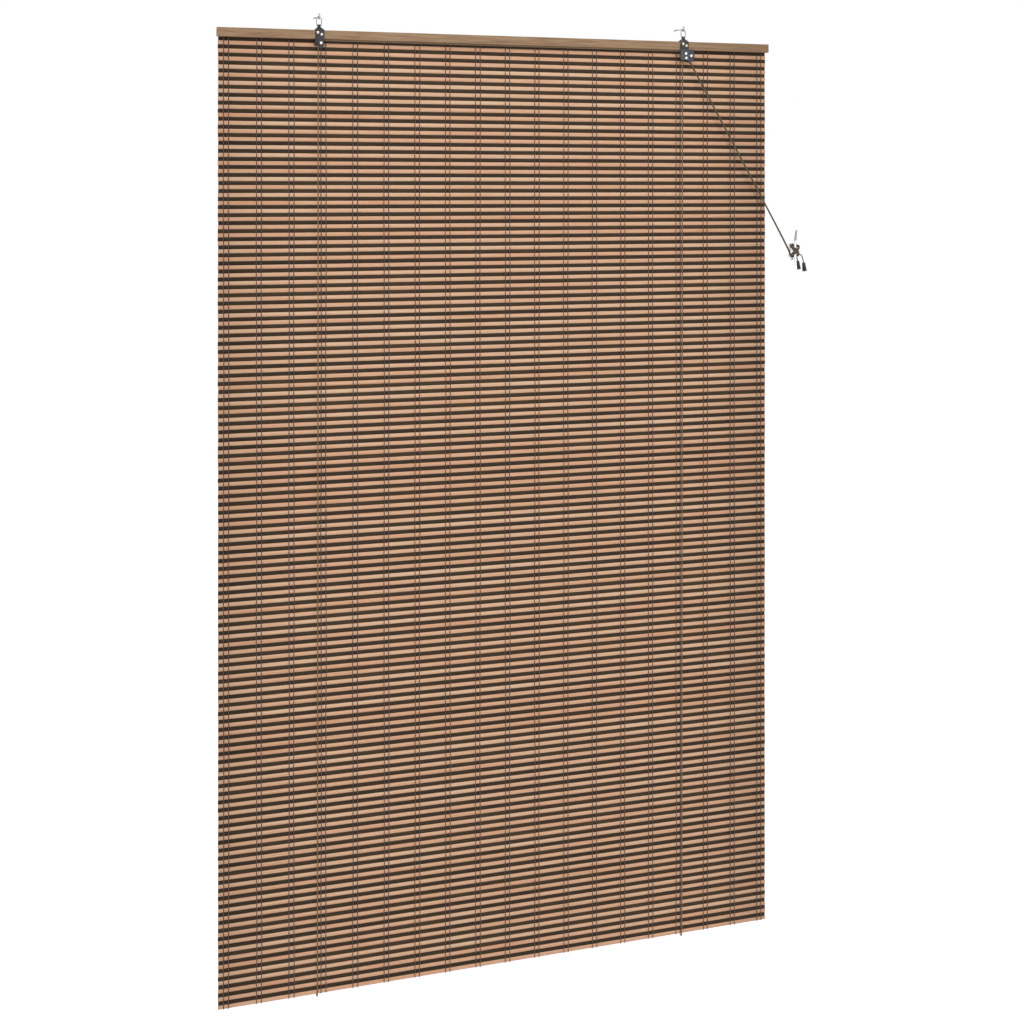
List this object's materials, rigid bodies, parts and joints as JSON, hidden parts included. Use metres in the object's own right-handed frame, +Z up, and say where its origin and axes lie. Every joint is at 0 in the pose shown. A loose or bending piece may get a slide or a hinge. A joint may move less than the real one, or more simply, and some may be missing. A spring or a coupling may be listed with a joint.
{
  "type": "bamboo roll up blind",
  "caption": "Woven bamboo slat blind let down from a wooden headrail on wall hooks, with a pulley, a cord lock, lift cords and a wall cleat for the pull cords.",
  "frame": {"origin": "on the wall's face, midway between the two hook shanks", "axes": "+X to the right seen from the room, +Y into the wall along the hook shanks, +Z up"},
  "size_m": [1.0851, 0.0535, 1.6329],
  "materials": {
    "headrail_wood": "planed batten, clear stain",
    "bamboo": "split bamboo, light slats and dark stained sticks",
    "thread": "twisted cotton thread",
    "staple_wire": "flat steel wire",
    "bright_wire": "bright zinc plated wire",
    "black_lacquer": "black lacquered sheet steel",
    "lock_lacquer": "dark grey lacquered sheet steel",
    "bright_screw": "bright nickel plated steel",
    "pulley_plastic": "moulded black plastic",
    "cam_steel": "toothed zinc alloy",
    "cord": "braided cord",
    "cap_plastic": "moulded black plastic",
    "cleat_metal": "bright plated casting"
  },
  "bodies": {
    "blind": {"headrail": "headrail_wood", "bamboo_mat": "bamboo", "warp_threads_front": "thread", "warp_threads_back": "thread", "thread_staples": "staple_wire", "cord_staples": "staple_wire", "left_screw_hook": "bright_wire", "right_screw_hook": "bright_wire", "left_ring": "bright_wire", "right_ring": "bright_wire", "left_bracket": "black_lacquer", "right_bracket": "black_lacquer", "bracket_screws": "bright_screw", "left_housing": "black_lacquer", "lock_housing": "lock_lacquer", "left_pulley_pin": "bright_screw", "lock_pulley_pin": "bright_screw", "lock_guide_pin": "bright_screw", "lock_cam_pin": "bright_screw", "left_lift_cord": "cord", "right_lift_cord": "cord", "left_pull_cord": "cord", "right_pull_cord": "cord", "cord_winding": "cord", "left_tail": "cord", "right_tail": "cord", "left_cap": "cap_plastic", "right_cap": "cap_plastic", "cord_cleat": "cleat_metal", "cleat_screws": "bright_screw"},
    "left_pulley": {"left_pulley": "pulley_plastic"},
    "lock_pulley": {"lock_pulley": "pulley_plastic"},
    "lock_cam": {"lock_cam": "cam_steel"}
  },
  "joints": [
    {"name": "left_pulley_spin", "type": "hinge", "parent": "blind", "child": "left_pulley", "pos_m": [-0.331, -0.01425, -0.0445], "axis": [0, 1, 0], "continuous": true},
    {"name": "lock_pulley_spin", "type": "hinge", "parent": "blind", "child": "lock_pulley", "pos_m": [0.335, -0.01425, -0.0445], "axis": [0, 1, 0], "continuous": true},
    {"name": "cam_pivot", "type": "hinge", "parent": "blind", "child": "lock_cam", "pos_m": [0.3456, -0.01425, -0.0482], "axis": [0, 1, 0], "range_deg": [-40, 0]}
  ],
  "couplings": [
    {"joint": "lock_pulley_spin", "follows": "left_pulley_spin", "ratio": 1}
  ]
}
